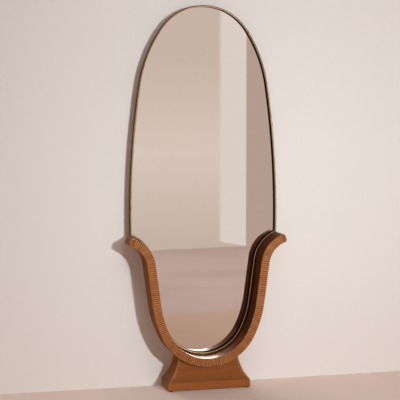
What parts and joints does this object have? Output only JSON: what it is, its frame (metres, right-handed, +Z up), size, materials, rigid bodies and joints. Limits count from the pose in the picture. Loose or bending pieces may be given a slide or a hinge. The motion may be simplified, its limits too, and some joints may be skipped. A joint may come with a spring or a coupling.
{
  "type": "dressing mirror",
  "caption": "Tall arch-topped mirror in a slim brass frame, held in a fluted wooden lyre-shaped cradle on a waisted foot.",
  "frame": {"origin": "on the floor, midway between the plinth's sides and between its front and back", "axes": "+X to the right seen from the front, +Y to the wall behind, +Z up"},
  "size_m": [0.8014, 0.158, 1.9],
  "materials": {
    "stained_wood": "satin lacquer over a brown stain",
    "dowel_wood": "plain beech",
    "antique_brass": "brushed and aged",
    "silvered_glass": "polished",
    "black_strip": "matt",
    "foam": "closed-cell foam",
    "board_brown": "hardboard, plain",
    "spring_steel": "blued",
    "zinc_steel": "zinc plated",
    "brass_fitting": "satin",
    "glide_plastic": "matt"
  },
  "bodies": {
    "stand": {"arm_dowels": "dowel_wood", "backing_board": "board_brown", "bolt_washers": "zinc_steel", "channel_nuts": "zinc_steel", "corner_key_left": "zinc_steel", "corner_key_right": "zinc_steel", "corner_screws": "zinc_steel", "cradle_arm_left": "stained_wood", "cradle_arm_right": "stained_wood", "cradle_bow": "stained_wood", "facing_arm_left": "stained_wood", "facing_arm_right": "stained_wood", "facing_bow": "stained_wood", "foam_pads": "foam", "foot_bolts": "zinc_steel", "foot_neck": "stained_wood", "foot_plinth": "stained_wood", "frame_arch_rail": "antique_brass", "frame_seats": "black_strip", "frame_tulip_rail": "antique_brass", "glazing_strip": "black_strip", "glide_front_left": "glide_plastic", "glide_front_right": "glide_plastic", "glide_rear_left": "glide_plastic", "glide_rear_right": "glide_plastic", "glide_screws": "zinc_steel", "hanger_plate_left": "brass_fitting", "hanger_plate_right": "brass_fitting", "hanger_screws": "zinc_steel", "mirror_glass": "silvered_glass", "spring_clips": "spring_steel", "strap_bow": "zinc_steel", "strap_left_lower": "zinc_steel", "strap_left_upper": "zinc_steel", "strap_machine_screws": "zinc_steel", "strap_right_lower": "zinc_steel", "strap_right_upper": "zinc_steel", "strap_wood_screws": "zinc_steel", "threaded_inserts": "brass_fitting"},
    "ring_left": {"hanger_ring_left": "brass_fitting"},
    "ring_right": {"hanger_ring_right": "brass_fitting"}
  },
  "joints": [
    {"name": "hanger_ring_left_swing", "type": "hinge", "parent": "stand", "child": "ring_left", "pos_m": [-0.35462, 0.0598, 1.17725], "axis": [1, 0, 0], "range_deg": [-8, 150]},
    {"name": "hanger_ring_right_swing", "type": "hinge", "parent": "stand", "child": "ring_right", "pos_m": [0.35462, 0.0598, 1.17725], "axis": [1, 0, 0], "range_deg": [-8, 150]}
  ]
}
